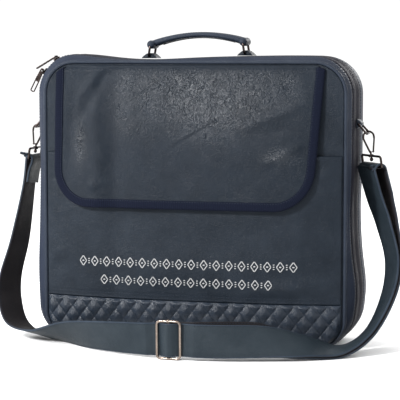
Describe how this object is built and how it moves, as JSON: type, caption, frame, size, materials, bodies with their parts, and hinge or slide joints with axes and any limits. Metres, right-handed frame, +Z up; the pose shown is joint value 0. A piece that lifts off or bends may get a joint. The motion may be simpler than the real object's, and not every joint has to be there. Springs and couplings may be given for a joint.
{
  "type": "tallit bag",
  "caption": "Soft structured carrying bag in navy faux leather with a bound front flap, front pocket, quilted foot, top handle, snap hooks and adjustable shoulder strap.",
  "frame": {"origin": "middle of the base, on the surface that the bag stands on", "axes": "+X to the right seen from the front, +Y from the front to the back, +Z up"},
  "size_m": [0.5005, 0.2049, 0.3748],
  "materials": {
    "leather": "satin grained faux leather",
    "piping": "smooth satin faux leather",
    "strap_leather": "matt faux leather",
    "ribbon": "ribbed ribbon",
    "zip_cloth": "woven tape with moulded teeth",
    "dark_metal": "dark polished plating",
    "pale_metal": "pale warm plating"
  },
  "bodies": {
    "bag": {"front_panel": "leather", "front_gusset": "leather", "middle_gusset": "leather", "rear_gusset": "leather", "back_panel": "leather", "front_pocket": "leather", "quilted_band": "leather", "flap": "leather", "front_piping": "piping", "rear_piping": "piping", "handle_tab_left": "piping", "handle_tab_right": "piping", "handle_grip": "piping", "side_tab_left": "piping", "side_tab_right": "piping", "shoulder_strap": "strap_leather", "flap_binding": "ribbon", "zip_tape": "zip_cloth", "handle_ring_left": "dark_metal", "handle_ring_right": "dark_metal", "side_ring_left": "dark_metal", "side_ring_right": "dark_metal", "hook_loop_left": "dark_metal", "hook_loop_right": "dark_metal", "zip_slider_upper": "dark_metal", "zip_slider_lower": "dark_metal", "strap_slider": "pale_metal"},
    "hook_left": {"hook_left": "dark_metal"},
    "hook_right": {"hook_right": "dark_metal"},
    "gate_left": {"hook_gate_left": "dark_metal"},
    "gate_right": {"hook_gate_right": "dark_metal"},
    "pull_upper": {"zip_pull_upper": "dark_metal"},
    "pull_lower": {"zip_pull_lower": "dark_metal"}
  },
  "joints": [
    {"name": "hook_left_swivel", "type": "hinge", "parent": "bag", "child": "hook_left", "pos_m": [-0.21034, -0.0011, 0.23031], "axis": [-0.1392, 0, -0.9903], "range_deg": [-40, 40]},
    {"name": "hook_right_swivel", "type": "hinge", "parent": "bag", "child": "hook_right", "pos_m": [0.21053, -0.0011, 0.22731], "axis": [0.1392, 0, -0.9903], "range_deg": [-40, 40]},
    {"name": "gate_left_spring", "type": "hinge", "parent": "hook_left", "child": "gate_left", "pos_m": [-0.21288, -0.0011, 0.23537], "axis": [0, 1, 0], "range_deg": [0, 22], "stiffness_Nm_per_rad": 0.0002},
    {"name": "gate_right_spring", "type": "hinge", "parent": "hook_right", "child": "gate_right", "pos_m": [0.21307, -0.0011, 0.23237], "axis": [0, 1, 0], "range_deg": [-22, 0], "stiffness_Nm_per_rad": 0.0002},
    {"name": "pull_upper_hinge", "type": "hinge", "parent": "bag", "child": "pull_upper", "pos_m": [-0.17333, -0.02648, 0.34347], "axis": [0, 1, 0], "range_deg": [0, 120]},
    {"name": "pull_lower_hinge", "type": "hinge", "parent": "bag", "child": "pull_lower", "pos_m": [-0.18933, -0.03218, 0.32717], "axis": [0, 1, 0], "range_deg": [0, 120]}
  ]
}
